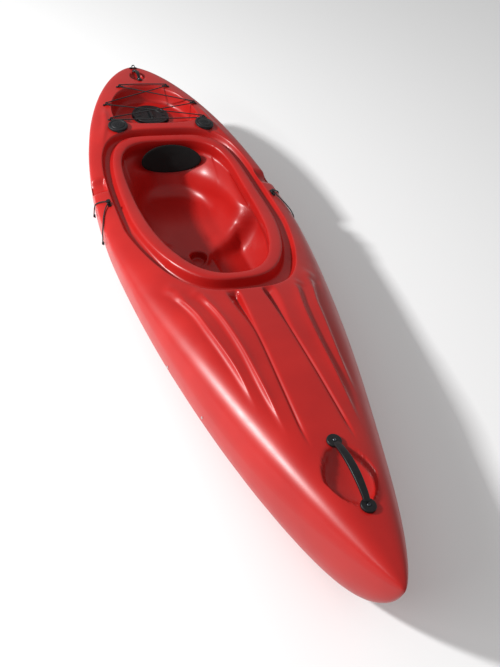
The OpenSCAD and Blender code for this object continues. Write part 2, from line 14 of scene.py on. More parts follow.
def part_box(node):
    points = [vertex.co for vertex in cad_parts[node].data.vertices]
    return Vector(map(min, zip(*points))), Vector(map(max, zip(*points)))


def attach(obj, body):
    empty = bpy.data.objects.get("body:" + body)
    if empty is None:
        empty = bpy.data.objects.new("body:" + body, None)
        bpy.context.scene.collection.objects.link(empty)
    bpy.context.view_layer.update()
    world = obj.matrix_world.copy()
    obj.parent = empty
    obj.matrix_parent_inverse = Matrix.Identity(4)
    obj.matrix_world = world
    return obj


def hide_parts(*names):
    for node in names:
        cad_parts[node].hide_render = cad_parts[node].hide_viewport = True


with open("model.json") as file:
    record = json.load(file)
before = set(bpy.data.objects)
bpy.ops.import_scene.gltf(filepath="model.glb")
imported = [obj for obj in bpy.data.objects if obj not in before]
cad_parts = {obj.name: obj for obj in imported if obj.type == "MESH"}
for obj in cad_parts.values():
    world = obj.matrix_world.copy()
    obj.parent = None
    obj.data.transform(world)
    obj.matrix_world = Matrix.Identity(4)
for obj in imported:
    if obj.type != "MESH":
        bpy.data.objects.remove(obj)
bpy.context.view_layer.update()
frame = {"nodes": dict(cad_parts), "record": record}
nodes = frame["nodes"]

# %% [markdown]
# ## Camera and light
# The kayak is seen from above its starboard bow. A small key lamp to starboard
# lights the port side of the cockpit and gives crisp shadows. A long lamp beside
# the fore deck picks out its edge, and a bright, even world fills the rest. The
# colours are shown without a film curve, which would turn the red pink.

# %% Camera
camera_data = bpy.data.cameras.new("view")
camera_data.lens = 43.38
camera_data.sensor_width = 36.0
camera_data.sensor_fit = "AUTO"
camera = bpy.data.objects.new("view", camera_data)
bpy.context.scene.collection.objects.link(camera)
right = Vector((0.34344, 0.92554, 0.15945)).normalized()
ahead = Vector((-0.65695, 0.35807, -0.66348)).normalized()
up = right.cross(ahead).normalized()
camera.matrix_world = Matrix((
    (right.x, up.x, -ahead.x, 2.3118),
    (right.y, up.y, -ahead.y, -1.0777),
    (right.z, up.z, -ahead.z, 2.1834),
    (0, 0, 0, 1)))
bpy.context.scene.camera = camera

# %% Floor and lights
floor_reach = 30
floor_mesh = bpy.data.meshes.new("floor")
floor_corners = [(-floor_reach, -floor_reach, 0), (floor_reach, -floor_reach, 0),
                 (floor_reach, floor_reach, 0), (-floor_reach, floor_reach, 0)]
floor_mesh.from_pydata(floor_corners, [], [(0, 1, 2, 3)])
floor = bpy.data.objects.new("floor", floor_mesh)
bpy.context.scene.collection.objects.link(floor)
floor_paint = bpy.data.materials.new("floor_paint")
floor_paint.use_nodes = True
floor_shader = floor_paint.node_tree.nodes["Principled BSDF"]
floor_shader.inputs["Base Color"].default_value = (0.93, 0.93, 0.93, 1)
floor_shader.inputs["Roughness"].default_value = 0.9
floor_shader.inputs["Specular IOR Level"].default_value = 0.1
floor_mesh.materials.append(floor_paint)


def area_lamp(name, place, target, size, power):
    lamp = bpy.data.lights.new(name, "AREA")
    lamp.shape = "RECTANGLE"
    lamp.size, lamp.size_y = size
    lamp.energy = power
    lamp_object = bpy.data.objects.new(name, lamp)
    lamp_object.location = place
    lamp_object.rotation_euler = (Vector(target) - Vector(place)).to_track_quat("-Z", "Y").to_euler()
    bpy.context.scene.collection.objects.link(lamp_object)


area_lamp("key", (-1.2, -5.2, 3.5), (0, 0, 0.2), (0.5, 0.5), 480)
area_lamp("shoulder", (1.5, -4.5, 3.0), (0.6, -0.3, 0.3), (3.0, 0.3), 45)
world = bpy.data.worlds.new("studio")
world.use_nodes = True
world.node_tree.nodes["Background"].inputs["Color"].default_value = (1, 1, 1, 1)
world.node_tree.nodes["Background"].inputs["Strength"].default_value = 0.46
bpy.context.scene.world = world
bpy.context.scene.view_settings.view_transform = "Standard"

# %% [markdown]
# ## Lines of the hull
# A boat's shape is a few long curves: the height of its widest line, the height
# of the deck's middle, and the width seen from above. Every point of the skin
# comes from them. Lengths in this part are millimetres, as on a lines plan.

# %% Hull lines
mm = 0.001
half_length, beam = 1500.0, 836.0
sheer_heights = [360, 305, 265, 236, 203, 205, 300]
deck_heights = [372, 356, 310, 330, 358, 350, 350]
stations = len(sheer_heights) - 1
widest_x = -270.0
flat_cut = 4.0


def curve_at(v, u):
    """A smooth curve through the evenly spaced values v, at u steps from the first."""
    n = len(v)
    i = min(n - 2, max(0, math.floor(u)))
    f = u - i
    b, c = v[i], v[i + 1]
    a = v[i - 1] if i > 0 else 2 * b - c
    d = v[i + 2] if i < n - 2 else 2 * c - b
    return 0.5 * (2 * b + (c - a) * f + (2 * a - 5 * b + 4 * c - d) * f ** 2
                  + (3 * b - a - 3 * c + d) * f ** 3)


def station(x):
    return (x + half_length) / (2 * half_length) * stations


def sheer_z(x):
    return curve_at(sheer_heights, station(x))


def deck_mid_z(x):
    return curve_at(deck_heights, station(x))


def half_beam(x):
    fore = x > widest_x
    r = (x - widest_x) / (half_length - widest_x) if fore else (widest_x - x) / (half_length + widest_x)
    r = min(1.0, r)
    return beam / 2 * ((1 - r ** 1.6) ** 0.77 if fore else (1 - r ** 2.03) ** 0.63)


def deck_z(x, y):
    t = min(1.0, abs(y) / max(half_beam(x), 0.01))
    r = min(1.0, abs(x) / half_length)
    return sheer_z(x) + (deck_mid_z(x) - sheer_z(x)) * (1 - r ** 14) ** 0.5 * (1 - t ** 2.93) ** 0.455


def keel_z(x):
    r = min(1.0, abs(x) / half_length)
    return sheer_z(x) * (1 - (1 - r ** 9) ** 0.6) + flat_cut * r ** 4


def bottom_z(x, y):
    t = min(1.0, abs(y) / max(half_beam(x), 0.01))
    return max(0.0, sheer_z(x) - (sheer_z(x) - keel_z(x)) * (1 - t ** 2.8) ** 0.417 - flat_cut)


def mix(a, b, f):
    return a + (b - a) * f


def smooth(lo, hi, v):
    f = min(1.0, max(0.0, (v - lo) / (hi - lo)))
    return f * f * (3 - 2 * f)


print("half beam at mid length", round(half_beam(0), 1), "mm")

# %% [markdown]
# ## Relief of the deck
# The mould has shallow steps that sweep back from the bow, a centre panel with
# a groove on each side, two drain pockets, hollows under the handles and a
# notch each side for a paddle shaft. Each is a small height added to the deck.

# %% Guide curves of the relief
groove_line = [(257, 52), (350, 55), (450, 58), (560, 61), (770, 69), (1010, 74), (1500, 60)]
inner_step = [(170, 262), (225, 216), (355, 172), (540, 148), (700, 140), (915, 130), (1500, 100)]
outer_step = [(120, 318), (165, 298), (270, 262), (352, 238), (434, 225), (630, 195), (785, 182), (1500, 130)]
rib_line = [(-1110, 232), (-964, 257), (-835, 312)]
step_height = 11
bow_hollow = (1130, 106, 84, 42)
stern_hollow = (-1397, 38, 36, 26)
notch_x, notch_depth = -555, 24


def along(points, x):
    """A smooth curve through points sorted by x, flat before the first and after the last."""
    if x <= points[0][0] or x >= points[-1][0]:
        return points[0][1] if x <= points[0][0] else points[-1][1]
    i = max(k for k in range(len(points) - 1) if points[k][0] <= x)
    (x0, y0), (x1, y1) = points[i], points[i + 1]
    before, after = points[max(0, i - 1)], points[min(len(points) - 1, i + 2)]
    lean0 = (y1 - before[1]) / (x1 - before[0])
    lean1 = (after[1] - y0) / (after[0] - x0)
    f, run = (x - x0) / (x1 - x0), x1 - x0
    return (y0 * (1 + 2 * f) * (1 - f) ** 2 + y1 * f * f * (3 - 2 * f)
            + run * (lean0 * f * (1 - f) ** 2 - lean1 * f * f * (1 - f)))


def step_relief(x, y, line, start, end, height):
    """A step that drops outboard of a line, and fades out at both ends."""
    fade = smooth(start, start + 90, x) * (1 - smooth(end - 240, end, x))
    if fade <= 0:
        return 0.0
    u = along(line, x) - y
    if u > -3:
        return height * fade * math.exp(-max(0.0, u - 3) / 20) * smooth(-3, 3, u)
    return -0.7 * height * fade * math.exp((u + 4) / 22) * smooth(3, 8, -u)


def pocket_edge(x):
    """Outer edge of the wedge beside the middle panel, which narrows to a groove."""
    return along(groove_line, x) + 13 + 30 * (1 - smooth(262, 520, x))


def hollow(x, y, cx, rx, ry, depth):
    """Depth of an oval bowl centred on the deck's middle line at cx."""
    u = abs((x - cx) / rx) ** 1.7 + abs(y / ry) ** 1.7
    return depth * (1 - u) ** 0.38 if u < 1 else 0.0


def deck_relief(x, y):
    a = abs(y)
    dz = -hollow(x, y, *bow_hollow) - hollow(x, y, *stern_hollow)
    if x > 150:
        dz += step_relief(x, a, inner_step, 190, 960, step_height)
        dz += step_relief(x, a, outer_step, 120, 830, step_height)
        g, edge = along(groove_line, x), pocket_edge(x)
        depth = mix(34, 8, smooth(276, 500, x)) * smooth(262, 270, x) * (1 - smooth(900, 1015, x))
        ramp = min(1.0, max(0.0, (edge - a) / (edge - g - 3)))
        dz -= depth * smooth(g - 3, g + 3, a) * ramp
    notch = math.exp(-((x - notch_x) / 36) ** 8) * smooth(318, 332, a)
    dz -= notch_depth * notch
    if -1110 < x < -835:
        r = along(rib_line, x)
        dz += 6 * smooth(-1110, -1050, x) * (1 - smooth(-880, -835, x)) * math.exp(-((a - r) / 14) ** 2)
    return dz


def deck(x, y):
    return deck_z(x, y) + deck_relief(x, y)


# %% [markdown]
# ## Rings of the cockpit and tank well
# Round the cockpit the surface runs down into a gutter, up over the coaming and
# down into the seat. Each line of that profile is a ring, a superellipse with
# its own width and corners. Two rings close together make a tight fold.

# %% Rings
# aft end, widest x, fore end, half width, two exponents ahead of widest x, two aft of it
gutter = (-908, -230, 257, 348, 1.25, 3.3, 4.3, 4.5)
gutter_foot = (-899, -230, 247, 338, 1.25, 3.3, 4.3, 4.5)
coaming_foot = (-884, -330, 178, 312, 1.8, 2.9, 3.1, 5)
coaming = (-876, -330, 169, 304, 1.8, 2.8, 3.1, 5)
mouth = (-840, -500, 129, 253, 2.6, 2.45, 3.5, 3.4)
lip = (-842, -500, 134, 257, 2.6, 2.45, 3.5, 3.4)
liner_top = (-825, 50, 790, 290, 8, 1.6, 3.2, 3)
liner_foot = (-775, 0, 775, 245, 8, 1.6, 3, 3)
well = (-1295, -1030, -948, 207, 2.5, 2.5, 2, 2.3)
well_foot = (-1272, -1030, -968, 190, 2.5, 2.5, 2, 2.3)
seat_h, floor_h, coaming_rise, well_depth = 78.0, 34.0, 30.0, 75.0
hub = (-294.0, 12.0)
cup_rings = [9, 20, 28, 32, 36, 41, 50, 64]
well_x = -1110.0


def outline_at(o, angle):
    """The point of outline o at an angle from the bow."""
    c, s = math.cos(math.radians(angle)), math.sin(math.radians(angle))
    fore = c > 0
    px = abs(c) ** (2 / (o[4] if fore else o[6]))
    py = abs(s) ** (2 / (o[5] if fore else o[7]))
    x = o[1] + (o[2] - o[1]) * px if fore else o[1] - (o[1] - o[0]) * px
    return x, math.copysign(o[3] * py, s)


def coaming_z(x):
    return deck_mid_z(x) - 15


def gutter_z(x):
    """The gutter deepens ahead of the mouth."""
    return coaming_z(x) - coaming_rise - 20 * smooth(-150, 150, x)


def seat_z(x, y):
    """Floor of the cockpit: seat pan with its cup recess, then the footwell."""
    a = abs(y)
    front = -262 - 62 * smooth(40, 130, a) - 60 * smooth(110, 260, a)
    pan = seat_h + 0.0006 * a ** 2 + 60 * smooth(150, 250, a)
    pan -= 14 * smooth(-560, -300, x) * (1 - smooth(60, 170, a))
    cup = math.hypot(x - hub[0], y - hub[1])
    pan += 4 * math.exp(-((cup - 44) / 7) ** 2) - 30 * (1 - smooth(30, 38, cup))
    for dx in (-660, -400):
        pan -= 6 * math.exp(-(((x - dx) / 20) ** 2 + ((a - 100) / 20) ** 2))
    return mix(pan, floor_h, smooth(front - 26, front + 26, x))


# outline, outward shift, height: from the deck's edge down, over the coaming and in
rim_rings = [
    (gutter, 5, lambda x, y: deck(x, y)),
    (gutter, 0, lambda x, y: deck_z(x, y) - 1),
    (gutter, -2, lambda x, y: deck_z(x, y) - 6),
    (gutter_foot, 2, lambda x, y: gutter_z(x) + 8),
    (gutter_foot, -4, lambda x, y: gutter_z(x)),
    (coaming_foot, 5, lambda x, y: gutter_z(x)),
    (coaming_foot, 0, lambda x, y: gutter_z(x) + 6),
    (coaming, 1, lambda x, y: coaming_z(x) - 4),
    (coaming, -3, lambda x, y: coaming_z(x)),
    (mouth, 25, lambda x, y: coaming_z(x) + 1.5),
    (mouth, 4, lambda x, y: coaming_z(x)),
    (mouth, 0, lambda x, y: coaming_z(x) - 5),
    (lip, 0, lambda x, y: coaming_z(x) - coaming_rise - 24),
    (lip, 6, lambda x, y: coaming_z(x) - coaming_rise - 34),
]


def pushed(o, amount):
    """An outline moved outward by some millimetres."""
    return (o[0] - amount, o[1], o[2] + amount, o[3] + amount) + tuple(o[4:])


wall_rings = 5
half_ring = 38
floor_ring = len(rim_rings) + wall_rings


def bolster(x):
    """The seat's sides stand in from the liner; ahead of them the footwell is wider."""
    return -22 * (1 - smooth(-480, -400, x)) + 38 * smooth(-450, -370, x) * (1 - smooth(50, 330, x))


def pit_point(k, angle):
    """Ring k of the cockpit, counted from the deck's edge to the cup in the seat."""
    if k < len(rim_rings):
        o, push, height = rim_rings[k]
        x, y = outline_at(pushed(o, push), angle)
        return x, y, height(x, y)
    f = min(1.0, (k - len(rim_rings) + 1) / wall_rings)
    top = outline_at(liner_top, angle)
    foot = outline_at(liner_foot, angle)
    x, y = mix(top[0], foot[0], f), mix(top[1], foot[1], f)
    shift = bolster(x) * (0.35 + 0.65 * math.sin(math.pi * min(1, 0.25 + 0.75 * f)))
    y = math.copysign(max(0.0, abs(y) + shift * smooth(0, 120, abs(y))), y)
    forward = smooth(100, 400, x)
    top_z = mix(235, deck_mid_z(x) - 85, forward)
    if k < floor_ring:
        z = mix(top_z, seat_z(x, y) + 22, f ** 0.85)
        return x, y, z
    inner = half_ring - k
    if inner <= len(cup_rings):
        r = cup_rings[inner - 1] if inner else 0
        qx, qy = hub[0] + r * math.cos(math.radians(angle)), hub[1] + r * math.sin(math.radians(angle))
        return qx, qy, seat_z(qx, qy)
    s = (inner - len(cup_rings)) / (half_ring - floor_ring + 1 - len(cup_rings))
    cx = hub[0] + cup_rings[-1] * math.cos(math.radians(angle))
    cy = hub[1] + cup_rings[-1] * math.sin(math.radians(angle))
    qx, qy = mix(cx, x, s), mix(cy, y, s)
    return qx, qy, seat_z(qx, qy)


well_z = deck_mid_z(well_x) - well_depth


def well_point(k, angle):
    """Ring k of the tank well, counted inward from the deck's edge."""
    if k == 0:
        x, y = outline_at(well, angle)
        return x, y, deck(x, y)
    if k == 1:
        x, y = outline_at(pushed(well, -3), angle)
        return x, y, deck_z(x, y) - 4
    if k == 2:
        x, y = outline_at(pushed(well_foot, 3), angle)
        return x, y, well_z + 9
    x, y = outline_at(pushed(well_foot, -5), angle)
    s = 1 - (k - 3) / 7
    return well_x + (x - well_x) * s, y * s, well_z


# %% [markdown]
# ## The cage
# A row runs once round the hull: over the deck from starboard to port and back
# underneath. Rows through the cockpit cross its nested rings, which keeps every
# face four-sided. Subdivision then rounds the whole moulding. The surface runs on
# unbroken under the hatch ring and the rod holders, where the CAD hull has holes.

# %% Rows and columns
side_cols = 12
half_cols = half_ring + side_cols
bottom_cols = 16
section = 2 * half_cols + bottom_cols
stern_steps = [0, 0.02, 0.05] + [0.1 + 0.9 * i / 15 for i in range(16)]
well_rows, bridge_rows, bow_rows = 20, 3, 92
bow_steps = [mix(i / bow_rows, 1 - (1 - i / bow_rows) ** 1.5, 0.35) for i in range(bow_rows + 1)]
well_aft = len(stern_steps) - 1
well_fore = well_aft + well_rows
pit_aft = well_fore + bridge_rows
pit_fore = pit_aft + 2 * half_ring
last_row = pit_fore + bow_rows
well_cols = 22


def ring_angle(a, b, m, n):
    """The angle round a ring of the cage point a rows and b columns from its middle."""
    u, v = a / m, b / n
    if u >= abs(v):
        return math.copysign(45 * abs(v) ** 1.64, v)
    if v >= abs(u):
        return 90 - 45 * u
    if u <= -abs(v):
        return 180 - 45 * v
    return 270 + 45 * u


def side_point(edge, j, n):
    f = (abs(j) - n) / (half_cols - n)
    g = 1 - (1 - f) ** 1.7
    x = edge[0]
    y = math.copysign(mix(abs(edge[1]), half_beam(x), g), j)
    return x, y, deck(x, y) if abs(j) < half_cols else deck_z(x, y)


def pit_row(i, j):
    a = i - pit_aft - half_ring
    if abs(j) <= half_ring:
        m = max(abs(a), abs(j))
        return pit_point(half_ring, 0) if m == 0 else pit_point(half_ring - m, ring_angle(a, j, m, m))
    edge = pit_point(0, ring_angle(a, math.copysign(half_ring, j), half_ring, half_ring))
    return side_point(edge, j, half_ring)


def well_row(i, j):
    h = well_rows // 2
    a = i - well_aft - h
    if abs(j) <= well_cols:
        k = min(h - abs(a), well_cols - abs(j))
        if k == h:
            return well_x, 4.0 * j, well_z
        return well_point(k, ring_angle(a, j, h - k, well_cols - k))
    edge = well_point(0, ring_angle(a, math.copysign(well_cols, j), h, well_cols))
    return side_point(edge, j, well_cols)


def bow_y(x, j):
    """Columns of the fore deck follow the groove and the two steps."""
    b = half_beam(x)
    lines = [(0, 0.0), (6, along(groove_line, x) - 4), (8, along(groove_line, x) + 4), (12, pocket_edge(x)),
             (18, along(inner_step, x) - 3), (20, along(inner_step, x) + 4),
             (26, along(outer_step, x) - 3), (28, along(outer_step, x) + 4)]
    a = abs(j)
    even = b * math.sin(math.radians(90 * a / half_cols))
    guided = even
    if a <= 28:
        for (j0, y0), (j1, y1) in zip(lines, lines[1:]):
            if a <= j1:
                guided = mix(y0, y1, (a - j0) / (j1 - j0))
                break
    else:
        f = (a - 28) / (half_cols - 28)
        guided = mix(lines[-1][1], b, math.sin(math.radians(90 * f)))
    w = 1 - smooth(950, 1250, x)
    if lines[-1][1] > 0.94 * b:
        w *= max(0.0, 1 - (lines[-1][1] / b - 0.94) / 0.05)
    return mix(even, guided, w)


def end_point(edge, tip_x, j, s, fore):
    x = mix(edge[0], tip_x, s)
    b = half_beam(x)
    if abs(j) == half_cols:
        y = b
    else:
        t0 = abs(edge[1]) / half_beam(edge[0])
        target = bow_y(x, j) if fore else b * math.sin(math.radians(90 * abs(j) / half_cols))
        y = mix(b * t0, target, smooth(0, 0.07 if fore else 0.5, s))
    y = math.copysign(y, j)
    return x, y, deck(x, y) if abs(j) < half_cols else deck_z(x, y)


def bridge_point(i, j):
    f = (i - well_fore) / bridge_rows
    p, q = well_row(well_fore, j), pit_row(pit_aft, j)
    x, y = mix(p[0], q[0], f), mix(p[1], q[1], f)
    if abs(j) == half_cols:
        y = math.copysign(half_beam(x), j)
    return x, y, deck(x, y) if abs(j) < half_cols else deck_z(x, y)


def top_point(i, j):
    if i < well_aft:
        return end_point(well_row(well_aft, j), -half_length, j, 1 - stern_steps[i], False)
    if i <= well_fore:
        return well_row(i, j)
    if i < pit_aft:
        return bridge_point(i, j)
    if i <= pit_fore:
        return pit_row(i, j)
    return end_point(pit_row(pit_fore, j), half_length, j, bow_steps[i - pit_fore], True)


def under_point(i, k):
    angle = math.radians(90 - 180 * k / bottom_cols)
    x = top_point(i, half_cols)[0]
    y = half_beam(x) * math.sin(angle)
    return x, y, bottom_z(x, y)


def hull_cage():
    rows = []
    for i in range(1, last_row):
        row = [top_point(i, k - half_cols) for k in range(2 * half_cols + 1)]
        row += [under_point(i, k) for k in range(1, bottom_cols)]
        rows.append(row)
    points = [tuple(mm * c for c in p) for row in rows for p in row]
    n, m = len(rows), section
    stern, bow = len(points), len(points) + 1
    for end, row in ((-half_length, rows[0]), (half_length, rows[-1])):
        points.append((mm * end, 0.0, mm * sum(p[2] for p in row) / len(row)))
    faces = []
    for i in range(n - 1):
        for k in range(m):
            a, b = i * m + k, i * m + (k + 1) % m
            faces.append((a, b, b + m, a + m))
    for k in range(m):
        faces.append(((k + 1) % m, k, stern))
        faces.append(((n - 1) * m + k, (n - 1) * m + (k + 1) % m, bow))
    return points, faces


def new_piece(name, points, faces, body):
    mesh = bpy.data.meshes.new(name)
    mesh.from_pydata(points, [], faces)
    mesh.update()
    for face in mesh.polygons:
        face.use_smooth = True
    piece = bpy.data.objects.new(name, mesh)
    bpy.context.scene.collection.objects.link(piece)
    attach(piece, body)
    return piece


cage_points, cage_faces = hull_cage()
hull = new_piece("hull_moulding", cage_points, cage_faces, "hull")
hull_round = hull.modifiers.new("rounding", "SUBSURF")
hull_round.levels = hull_round.render_levels = 1
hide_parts("hull_shell")
print("hull cage", len(cage_points), "points", len(cage_faces), "faces")

# %% [markdown]
# ## Finishes
# Each finish is a small node tree. The hull is dyed polyethylene: even in
# colour, waxy, with a faint orange peel and a scuffed keel. The fittings are
# moulded nylon and rubber, stainless steel, brass, braided cord and foam.

# %% Hull plastic
hull_plastic = bpy.data.materials.new("hull_plastic")
hull_plastic.use_nodes = True
tree = hull_plastic.node_tree
for node in list(tree.nodes):
    tree.nodes.remove(node)
output = tree.nodes.new("ShaderNodeOutputMaterial")
output.label = "surface of the moulding"
output.location = (900, 0)
shader = tree.nodes.new("ShaderNodeBsdfPrincipled")
shader.label = "waxy polyethylene"
shader.location = (600, 0)
shader.inputs["IOR"].default_value = 1.51
shader.inputs["Specular IOR Level"].default_value = 0.34
colour_frame = tree.nodes.new("NodeFrame")
colour_frame.label = "dye and wear"
gloss_frame = tree.nodes.new("NodeFrame")
gloss_frame.label = "sheen"
skin_frame = tree.nodes.new("NodeFrame")
skin_frame.label = "skin of the moulding"
place = tree.nodes.new("ShaderNodeTexCoord")
place.label = "position on the hull"
place.location = (-1100, 0)
mottle = tree.nodes.new("ShaderNodeTexNoise")
mottle.label = "uneven dye"
mottle.location = (-800, 300)
mottle.inputs["Scale"].default_value = 5.0
mottle.inputs["Detail"].default_value = 4.0
mottle.parent = colour_frame
reds = tree.nodes.new("ShaderNodeValToRGB")
reds.label = "two close reds"
reds.location = (-550, 300)
reds.color_ramp.elements[0].position = 0.3
reds.color_ramp.elements[0].color = (0.36, 0.0075, 0.0065, 1)
reds.color_ramp.elements[1].position = 0.75
reds.color_ramp.elements[1].color = (0.43, 0.011, 0.0085, 1)
reds.parent = colour_frame
height_split = tree.nodes.new("ShaderNodeSeparateXYZ")
height_split.label = "height above the keel"
height_split.location = (-800, -60)
height_split.parent = colour_frame
low_band = tree.nodes.new("ShaderNodeMapRange")
low_band.label = "keel band"
low_band.location = (-550, -60)
low_band.inputs["From Min"].default_value = 0.028
low_band.inputs["From Max"].default_value = 0.0
low_band.parent = colour_frame
scratches = tree.nodes.new("ShaderNodeTexNoise")
scratches.label = "scratches along the keel"
scratches.location = (-800, -260)
scratches.inputs["Scale"].default_value = 60.0
scratches.inputs["Detail"].default_value = 8.0
scratches.inputs["Distortion"].default_value = 1.5
scratches.parent = colour_frame
scratch_cut = tree.nodes.new("ShaderNodeMapRange")
scratch_cut.label = "only the deepest"
scratch_cut.location = (-550, -260)
scratch_cut.inputs["From Min"].default_value = 0.55
scratch_cut.inputs["From Max"].default_value = 0.7
scratch_cut.parent = colour_frame
wear = tree.nodes.new("ShaderNodeMath")
wear.label = "scratches on the keel"
wear.location = (-320, -160)
wear.operation = "MULTIPLY"
wear.parent = colour_frame
worn = tree.nodes.new("ShaderNodeMix")
worn.label = "pale scuffed plastic"
worn.location = (-80, 200)
worn.data_type = "RGBA"
worn.inputs["B"].default_value = (0.62, 0.16, 0.12, 1)
worn.parent = colour_frame
sheen_noise = tree.nodes.new("ShaderNodeTexNoise")
sheen_noise.label = "handling marks"
sheen_noise.location = (-320, -420)
sheen_noise.inputs["Scale"].default_value = 14.0
sheen_noise.inputs["Detail"].default_value = 6.0
sheen_noise.parent = gloss_frame
sheen_range = tree.nodes.new("ShaderNodeMapRange")
sheen_range.label = "satin to gloss"
sheen_range.location = (-80, -420)
sheen_range.inputs["To Min"].default_value = 0.26
sheen_range.inputs["To Max"].default_value = 0.40
sheen_range.parent = gloss_frame
peel = tree.nodes.new("ShaderNodeTexNoise")
peel.label = "orange peel"
peel.location = (-320, -700)
peel.inputs["Scale"].default_value = 260.0
peel.inputs["Detail"].default_value = 2.0
peel.parent = skin_frame
waves = tree.nodes.new("ShaderNodeTexNoise")
waves.label = "slow ripples of a thick wall"
waves.location = (-320, -950)
waves.inputs["Scale"].default_value = 7.0
waves.inputs["Detail"].default_value = 1.0
waves.parent = skin_frame
ripple_bump = tree.nodes.new("ShaderNodeBump")
ripple_bump.label = "ripples"
ripple_bump.location = (-80, -900)
ripple_bump.inputs["Strength"].default_value = 0.12
ripple_bump.inputs["Distance"].default_value = 0.01
ripple_bump.parent = skin_frame
peel_bump = tree.nodes.new("ShaderNodeBump")
peel_bump.label = "peel"
peel_bump.location = (160, -700)
peel_bump.inputs["Strength"].default_value = 0.10
peel_bump.inputs["Distance"].default_value = 0.001
peel_bump.parent = skin_frame
tree.links.new(place.outputs["Object"], mottle.inputs["Vector"])
tree.links.new(mottle.outputs["Fac"], reds.inputs["Fac"])
tree.links.new(place.outputs["Object"], height_split.inputs["Vector"])
tree.links.new(height_split.outputs["Z"], low_band.inputs["Value"])
tree.links.new(place.outputs["Object"], scratches.inputs["Vector"])
tree.links.new(scratches.outputs["Fac"], scratch_cut.inputs["Value"])
tree.links.new(low_band.outputs["Result"], wear.inputs[0])
tree.links.new(scratch_cut.outputs["Result"], wear.inputs[1])
tree.links.new(wear.outputs["Value"], worn.inputs["Factor"])
tree.links.new(reds.outputs["Color"], worn.inputs["A"])
tree.links.new(worn.outputs["Result"], shader.inputs["Base Color"])
tree.links.new(place.outputs["Object"], sheen_noise.inputs["Vector"])
tree.links.new(sheen_noise.outputs["Fac"], sheen_range.inputs["Value"])
tree.links.new(sheen_range.outputs["Result"], shader.inputs["Roughness"])
tree.links.new(place.outputs["Object"], waves.inputs["Vector"])
tree.links.new(waves.outputs["Fac"], ripple_bump.inputs["Height"])
tree.links.new(place.outputs["Object"], peel.inputs["Vector"])
tree.links.new(peel.outputs["Fac"], peel_bump.inputs["Height"])
tree.links.new(ripple_bump.outputs["Normal"], peel_bump.inputs["Normal"])
tree.links.new(peel_bump.outputs["Normal"], shader.inputs["Normal"])
tree.links.new(shader.outputs["BSDF"], output.inputs["Surface"])
hull.data.materials.append(hull_plastic)

# %% [markdown]
# Nylon, rubber, foam and the metals share one make-up: a colour that drifts a
# little, a sheen that drifts with it, and a fine grain. Only the scales and
# amounts differ, so one function makes them all.

# %% Fitting finishes
def fitting_finish(name, dark, light, rough, metal, grain_scale, grain_depth, stretch=(1, 1, 1), sheen=0.0):
    material = bpy.data.materials.new(name)
    material.use_nodes = True
    tree = material.node_tree
    for node in list(tree.nodes):
        tree.nodes.remove(node)
    output = tree.nodes.new("ShaderNodeOutputMaterial")
    output.label = "surface"
    output.location = (700, 0)
    shader = tree.nodes.new("ShaderNodeBsdfPrincipled")
    shader.label = name.replace("_", " ")
    shader.location = (400, 0)
    shader.inputs["Metallic"].default_value = metal
    shader.inputs["Sheen Weight"].default_value = sheen
    shader.inputs["Specular IOR Level"].default_value = 0.5 if metal else 0.28
    colour_frame = tree.nodes.new("NodeFrame")
    colour_frame.label = "colour"
    gloss_frame = tree.nodes.new("NodeFrame")
    gloss_frame.label = "gloss"
    grain_frame = tree.nodes.new("NodeFrame")
    grain_frame.label = "grain"
    place = tree.nodes.new("ShaderNodeTexCoord")
    place.label = "position"
    place.location = (-900, 0)
    turn = tree.nodes.new("ShaderNodeMapping")
    turn.label = "direction of the grain"
    turn.location = (-700, -300)
    turn.inputs["Scale"].default_value = stretch
    turn.parent = grain_frame
    drift = tree.nodes.new("ShaderNodeTexNoise")
    drift.label = "slow drift"
    drift.location = (-450, 250)
    drift.inputs["Scale"].default_value = 38.0
    drift.inputs["Detail"].default_value = 5.0
    drift.parent = colour_frame
    tint = tree.nodes.new("ShaderNodeValToRGB")
    tint.label = "dark to light"
    tint.location = (-200, 250)
    tint.color_ramp.elements[0].position = 0.3
    tint.color_ramp.elements[0].color = dark + (1,)
    tint.color_ramp.elements[1].position = 0.75
    tint.color_ramp.elements[1].color = light + (1,)
    tint.parent = colour_frame
    gloss = tree.nodes.new("ShaderNodeMapRange")
    gloss.label = "worn and fresh gloss"
    gloss.location = (-200, -20)
    gloss.inputs["To Min"].default_value = rough - 0.07
    gloss.inputs["To Max"].default_value = rough + 0.1
    gloss.parent = gloss_frame
    grain = tree.nodes.new("ShaderNodeTexNoise")
    grain.label = "moulded or brushed grain"
    grain.location = (-450, -300)
    grain.inputs["Scale"].default_value = grain_scale
    grain.inputs["Detail"].default_value = 3.0
    grain.parent = grain_frame
    relief = tree.nodes.new("ShaderNodeBump")
    relief.label = "grain depth"
    relief.location = (100, -300)
    relief.inputs["Strength"].default_value = grain_depth
    relief.inputs["Distance"].default_value = 0.0006
    relief.parent = grain_frame
    tree.links.new(place.outputs["Object"], drift.inputs["Vector"])
    tree.links.new(drift.outputs["Fac"], tint.inputs["Fac"])
    tree.links.new(tint.outputs["Color"], shader.inputs["Base Color"])
    tree.links.new(drift.outputs["Fac"], gloss.inputs["Value"])
    tree.links.new(gloss.outputs["Result"], shader.inputs["Roughness"])
    tree.links.new(place.outputs["Object"], turn.inputs["Vector"])
    tree.links.new(turn.outputs["Vector"], grain.inputs["Vector"])
    tree.links.new(grain.outputs["Fac"], relief.inputs["Height"])
    tree.links.new(relief.outputs["Normal"], shader.inputs["Normal"])
    tree.links.new(shader.outputs["BSDF"], output.inputs["Surface"])
    return material


